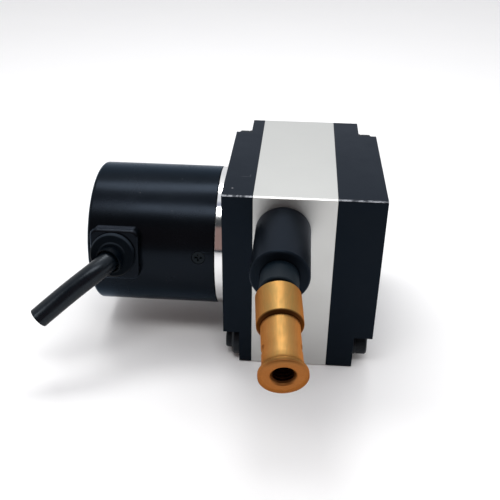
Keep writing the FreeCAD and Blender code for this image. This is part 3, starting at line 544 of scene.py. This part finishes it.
def bright_flange():
    """The encoder's turned flange."""
    f = Finish("bright_flange", (0.82, 0.82, 0.82), 1.0, 0.07)
    f.clouds(6.0, (0.72, 0.72, 0.72), 0.4, 0.04)
    f.tool_marks(vec(-19.0, 0, drum_axis_z), drum_axis, 0.2, 0.0012, 0.04)
    return f.done()


def turned_aluminium():
    """The drum and the spring's barrel."""
    f = Finish("turned_aluminium", (0.75, 0.75, 0.76), 1.0, 0.26)
    f.clouds(4.0, (0.66, 0.66, 0.67), 0.4, 0.08)
    f.tool_marks(on_axis, drum_axis, 0.2, 0.002)
    return f.done()


def cover_black():
    """The encoder's cover, with a painted highlight on the top of the cable's pad."""
    f = Finish("cover_black", (0.0084, 0.0108, 0.0145), 0.85, 0.23,
               Specular_IOR_Level=0.02, Specular_Tint=cover_rim)
    f.clouds(10.0, (0.0102, 0.0126, 0.0165), 0.5, 0.06)
    over = f.along(on_axis, pad_up)
    out = f.along(on_axis, pad_out)
    across = f.along(on_axis, drum_axis)
    # The pad's top, between its two ends and out to where it meets the round cover
    pad_width = f.window(across, (-52.4, -51.8), (-40.0, -40.6))
    highlight_breakup = f.band(f.noise(2.2, 3.0, 0.6), 0.25, 0.6, 0.7, 1.0)
    pad_top_highlight = f.product(pad_width, highlight_breakup, f.band(over, 6.9, 6.8))
    eased_edge = f.product(f.band(over, 5.8, 6.3), f.band(out, 18.4, 18.6))
    flat_top = f.product(f.window(out, (18.15, 18.35), (20.85, 20.6)), f.band(over, 6.55, 6.65))
    # Painted highlight: the pad's eased edge made a little paler and its flat top much paler, broken up
    # by noise.
    f.tint(f.product(pad_top_highlight, eased_edge), (0.016, 0.0185, 0.023), 0.9)
    f.tint(f.product(pad_top_highlight, flat_top), (0.14, 0.16, 0.2), 0.9)
    f.grain(0.25, 0.0025, 3.0)
    f.grain(1.4, 0.004, 2.0)
    f.dust(3.0, (0.16, 0.16, 0.17), 0.4)
    return f.done()


def grommet_rubber():
    """The cable's grommet, with a painted highlight along the upper half of its two lips."""
    f = Finish("grommet_rubber", (0.0003, 0.0015, 0.0035), 0.0, 0.4,
               Specular_IOR_Level=0.06, Specular_Tint=cool_gloss)
    f.clouds(2.5, (0.0015, 0.0035, 0.0055), 0.5, 0.1)
    # Painted highlight along the upper half of the outer lip and of the mouth's lip.
    upper = f.band(f.along(on_axis, pad_up), 0.5, 3.5)
    ring = f.reach(vec(pad_middle_x, 0, drum_axis_z), pad_out)
    for inner, outer in ((5.4, 7.0), (3.15, 3.75)):
        lip_highlight = f.window(ring, (inner, inner + 0.25), (outer, outer - 0.1))
        f.tint(f.product(lip_highlight, upper), (0.02, 0.027, 0.036), 0.9)
    f.grain(0.2, 0.006, 3.0)
    return f.done()


def cable_jacket():
    """The cable's jacket, whose sheen turns with a slow bow towards the cut end."""
    f = Finish("cable_jacket", (0.0004, 0.002, 0.0045), 0.0, 0.25,
               Specular_IOR_Level=0.3, Specular_Tint=cool_gloss)
    f.clouds(4.0, (0.002, 0.004, 0.006), 0.5, 0.08)
    f.grain(0.3, 0.004, 3.0)
    f.grain(1.8, 0.02, 1.0)
    to_end = (cable_route[-1] - cable_route[-3]).normalized()
    bow = f.band(f.along(cable_route[-1], to_end), -18.0, 1.0)
    f.emboss(f.product(bow, bow), 3.6)
    return f.done()


looks = {name: plain_look(name) for name in plain_looks}
looks.update({
    "black_anodised": black_anodised(),
    "black_bush": black_bush(),
    "silver_anodised": silver_anodised(),
    "gold_anodised": gold_anodised(),
    "bright_flange": bright_flange(),
    "turned_aluminium": turned_aluminium(),
    "cover_black": cover_black(),
    "grommet_rubber": grommet_rubber(),
    "cable_jacket": cable_jacket(),
})
slot_of = {s["node"]: s["material_slot"] for s in frame["record"]["subparts"]}


def finish_node(name):
    """Gives a CAD node the material of its slot, in every one of its material slots."""
    piece = nodes[name]
    look = looks[slot_of[name]]
    if not piece.data.materials:
        piece.data.materials.append(look)
    for held in piece.material_slots:
        held.material = look


for node_name in nodes:
    finish_node(node_name)


# Softer edges on the turned and milled pieces

weld_reach = 1e-6
flat_deg = 0.5
bevel_from_deg = 30.0
bevel_segments = 3

# The width of each node's bevel
eased = {
    "encoder_plate": 0.12, "body_frame": 0.1, "spring_cover": 0.12, "screw_collar": 0.12,
    "encoder_plate_screws": 0.1, "spring_cover_screws": 0.1, "screw_lock_washers": 0.06,
    "wire_nozzle": 0.15, "outlet_bush": 0.1, "end_fitting": 0.12, "encoder_flange": 0.1,
    "encoder_cover": 0.15, "cable_grommet": 0.15, "cover_screws": 0.06,
}


def ease_edges(name, width_mm):
    """Breaks a CAD node's sharp edges and lets its large faces set the shading beside them."""
    piece = nodes[name]
    weld = piece.modifiers.new("join", "WELD")
    weld.merge_threshold = weld_reach
    flat = piece.modifiers.new("flat", "DECIMATE")
    flat.decimate_type = "DISSOLVE"
    flat.angle_limit = math.radians(flat_deg)
    bevel = piece.modifiers.new("edges", "BEVEL")
    bevel.width = width_mm * mm
    bevel.segments = bevel_segments
    bevel.limit_method = "ANGLE"
    bevel.angle_limit = math.radians(bevel_from_deg)
    bevel.loop_slide = False
    bevel.miter_outer = "MITER_ARC"
    normals = piece.modifiers.new("even_normals", "WEIGHTED_NORMAL")
    normals.keep_sharp = True


for node_name, width in eased.items():
    ease_edges(node_name, width)


# Knurled bands on the cap screws' heads

screw_inset = 4.65
screw_y = housing_half - screw_inset
screw_high = housing_top - screw_inset
screw_places = [
    (-screw_y, screw_inset), (screw_y, screw_high), (-screw_y, screw_high), (screw_y, screw_inset),
]
plate_face_x = -13.25
cover_face_x = 16.9
washer_t = 0.8
head_r = 2.75
knurl_sunk = 0.02
knurl_start = 0.25
knurl_length = 2.35
knurl_lead = 0.12
tooth = 0.07
tooth_count = 48


def add_knurl(bm, start, along):
    """Adds one knurled sleeve, with its ends drawn in to the head's chamfers."""
    rings = []
    for distance, rise in ((0.0, 0.0), (knurl_lead, 1.0), (knurl_length - knurl_lead, 1.0),
                           (knurl_length, 0.0)):
        valley = head_r - knurl_sunk
        radii = [valley + tooth * rise, valley] * tooth_count
        rings.append(add_ring(bm, start + along * (distance * mm), along, radii))
    join_rings(bm, rings)


def knurls(name, seat_x, out):
    """The knurled bands of one side's four screws, as one object."""
    bm = bmesh.new()
    for y, z in screw_places:
        add_knurl(bm, vec(seat_x + out * knurl_start, y, z), Vector((out, 0, 0)))
    piece = built(bm, name)
    piece.data.materials.append(looks["black_screw"])
    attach(piece, "housing")


knurls("encoder_screw_knurls", plate_face_x - washer_t, -1)
knurls("cover_screw_knurls", cover_face_x + washer_t, 1)


# Measuring wire: strands that stretch between the drum and the end fitting

wire_r = 0.3
strand_count = 6
sides_per_strand = 6
wire_step = 0.2
twist_per_step = 0.22
straight_steps = 261
hanging_steps = 51
core_share = 0.8
lobe_share = 0.2
lobe_power = 0.7
wire_sharp_deg = 50.0


def wire_line():
    """The wire's middle line as points, from the drum to the ferrule's pocket."""
    straight = [vec(wire_x, -wire_step * i, wire_z) for i in range(straight_steps)]
    return straight + [fitting_pivot + fitting_axis * (wire_step * i * mm)
                       for i in range(hanging_steps)]


def stranded_wire():
    """A rope of twisted strands that follows the wire's line."""
    points = wire_line()
    sides = strand_count * sides_per_strand
    bm = bmesh.new()
    rings = []
    for i, point in enumerate(points):
        on = points[min(i + 1, len(points) - 1)] - points[max(i - 1, 0)]
        radii = []
        for k in range(sides):
            a = 2 * math.pi * k / sides
            lobe = abs(math.sin(strand_count * (a - twist_per_step * i) / 2)) ** lobe_power
            radii.append(wire_r * (core_share + lobe_share * lobe))
        rings.append(add_ring(bm, point, on.normalized(), radii))
    join_rings(bm, rings)
    bm.faces.new(rings[0])
    bm.faces.new(rings[-1])
    piece = built(bm, "wire_strands", wire_sharp_deg)
    piece.data.materials.append(looks["wire_steel"])
    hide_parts("measuring_wire")
    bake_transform(piece)


stranded_wire()


# Cord: the cut lead from the grommet, on the route's own points

jacket_bore_r = 1.95
jacket_profile = [(0.0, jacket_bore_r), (0.0, cable_r), (1.2, cable_r - 0.02), (1.2, jacket_bore_r)]
jacket_rounding = 0.1
filler_profile = [(0.25, 0.02), (0.25, 2.0), (1.0, 2.0), (1.0, 0.02)]
filler_rounding = 0.05
core_circle_r = 1.25
core_count = 5
copper_profile = [(-0.06, 0.008), (-0.06, 0.08), (0.3, 0.08), (0.3, 0.008)]
copper_rounding = 0.03
copper_steps = 3
copper_sides = 14
copper_spread = 0.17
outer_coppers = 6


def core_places():
    """The middles of the cores' cut faces."""
    end = cable_route[-1]
    back = (cable_route[-2] - end).normalized()
    side = back.cross(up).normalized()
    above = side.cross(back)
    turns = [2 * math.pi * i / core_count for i in range(core_count)]
    return [end + (side * math.cos(a) + above * math.sin(a)) * (core_circle_r * mm) for a in turns]


def copper_strands(inward):
    """Seven fine strands in each core: one in the middle and six round it."""
    bm = bmesh.new()
    first, second = side_axes(inward)
    for core in core_places():
        for k in range(outer_coppers + 1):
            a = 2 * math.pi * k / outer_coppers
            spread = copper_spread * mm if k < outer_coppers else 0.0
            off = (first * math.cos(a) + second * math.sin(a)) * spread
            strand = rounded(copper_profile, copper_rounding, copper_steps)
            add_lathe(bm, strand, core + off, inward, copper_sides)
    return built(bm, "core_strands", lathe_sharp_deg)


def cut_end():
    """The jacket's cut ring, the filler and the copper strands, at the lead's free end."""
    inward = (cable_route[-2] - cable_route[-1]).normalized()
    jacket = lathe("jacket_end", jacket_profile, cable_route[-1], inward, jacket_rounding)
    filler = lathe("core_filler", filler_profile, cable_route[-1], inward, filler_rounding)
    copper = copper_strands(inward)
    jacket.data.materials.append(looks["cable_jacket"])
    filler.data.materials.append(looks["core_filler"])
    copper.data.materials.append(looks["copper"])
    for piece in (jacket, filler, copper):
        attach(piece, "housing")
    return [jacket, filler, copper]


def cable():
    """The lead as one smooth NURBS curve."""
    data = bpy.data.curves.new("cable_lead", "CURVE")
    data.dimensions = "3D"
    data.bevel_depth = cable_r * mm
    data.bevel_resolution = 12
    data.resolution_u = 24
    spline = data.splines.new("NURBS")
    spline.points.add(len(cable_route) - 1)
    for point, place in zip(spline.points, cable_route):
        point.co = (*place, 1.0)
    spline.order_u = 3
    spline.use_endpoint_u = True
    lead = new_object("cable_lead", data)
    data.materials.append(looks["cable_jacket"])
    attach(lead, "housing")
    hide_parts("signal_cable")
    cut_end()


cable()


# Surroundings

room_white = (1.0, 1.0, 1.0)
dark_low = (0.022, 0.034, 0.045)
warm_dim = (0.27, 0.18, 0.165)
dark_high = (0.05, 0.055, 0.06)
overhead = (0.3, 0.32, 0.4)
pale = (0.78, 0.8, 0.84)
dim_back = (0.82, 0.83, 0.85)
room_strength = 1.06
fade_end = 0.8
fade_slope = 4.0
floor_reach = 6.0

# The room's bands: a colour and the angles above the front horizon that it stands at
front_room = [
    (room_white, -11.5),
    (dark_low, -7.5, 3.0),
    (warm_dim, 5.0, 38.5),
    (dark_high, 43.0, 57.0),
    (room_white, 60.0, 72.0),
    (overhead, 75.0, 80.0),
    (pale, 86.0, 100.0),
    (room_white, 104.0, 126.0),
    (dim_back, 146.0),
]

# Soft rectangular lights: place, size in millimetres and power in watts
lights = {
    "top_front": (vec(-30, -162, 385), (230, 85), 0.44),
    "top_back": (vec(-40, 116, 355), (240, 90), 0.5),
}


def lamp(name, place, size_mm, watts):
    """A soft rectangular light that shines on the part's middle."""
    data = bpy.data.lights.new(name, "AREA")
    data.shape = "RECTANGLE"
    data.size = size_mm[0] * mm
    data.size_y = size_mm[1] * mm
    data.energy = watts
    light = new_object(name, data)
    turn = (on_axis - place).normalized().to_track_quat("-Z", "Y").to_matrix()
    light.matrix_world = Matrix.Translation(place) @ turn.to_4x4()


def room_light():
    """A bright room with bands in front, which fade out towards the sides. The camera sees white."""
    world = bpy.data.worlds.new("room")
    bpy.context.scene.world = world
    world.use_nodes = True
    tree = world.node_tree
    background = tree.nodes["Background"]
    place = tree.nodes.new("ShaderNodeTexCoord")
    parts = tree.nodes.new("ShaderNodeSeparateXYZ")
    tree.links.new(place.outputs["Generated"], parts.inputs[0])
    x, y, z = parts.outputs

    ahead = calculate(tree, "SUBTRACT", fade_end, calculate(tree, "MULTIPLY", x, x))
    ahead = calculate(tree, "MULTIPLY", ahead, fade_slope, clamp=True)
    turn = calculate(tree, "ARCTAN2", z, calculate(tree, "MULTIPLY", y, -1.0))
    turn = calculate(tree, "ADD", turn, math.pi)
    ramp = tree.nodes.new("ShaderNodeValToRGB")
    tree.links.new(calculate(tree, "MULTIPLY", turn, 0.5 / math.pi), ramp.inputs[0])
    wanted = [(degrees, colour) for colour, *angles in front_room for degrees in angles]
    stops = ramp.color_ramp.elements
    while len(stops) < len(wanted):
        stops.new(0.5)
    for stop, (degrees, colour) in zip(stops, wanted):
        stop.position = (degrees + 180.0) / 360.0
        stop.color = (*colour, 1.0)

    white = (*room_white, 1.0)
    room = mix_colours(tree, ahead, white, ramp.outputs["Color"])
    to_camera = tree.nodes.new("ShaderNodeLightPath").outputs["Is Camera Ray"]
    feed(tree, background.inputs["Color"], mix_colours(tree, to_camera, room, white))
    background.inputs["Strength"].default_value = room_strength


def floor():
    """A plain pale floor."""
    mesh = bpy.data.meshes.new("floor")
    corners = [(x * floor_reach, y * floor_reach, 0) for x, y in ((-1, -1), (1, -1), (1, 1), (-1, 1))]
    mesh.from_pydata(corners, [], [(0, 1, 2, 3)])
    sheet = new_object("floor", mesh)
    f = Finish("floor_paper", (0.96, 0.96, 0.96), 0.0, 0.8)
    f.clouds(60.0, (0.94, 0.94, 0.94), 0.5, 0.0)
    mesh.materials.append(f.done())


bpy.context.scene.view_settings.view_transform = "Standard"
room_light()
floor()
for light_name, (light_place, light_size, light_watts) in lights.items():
    lamp(light_name, light_place, light_size, light_watts)

bpy.context.view_layer.update()
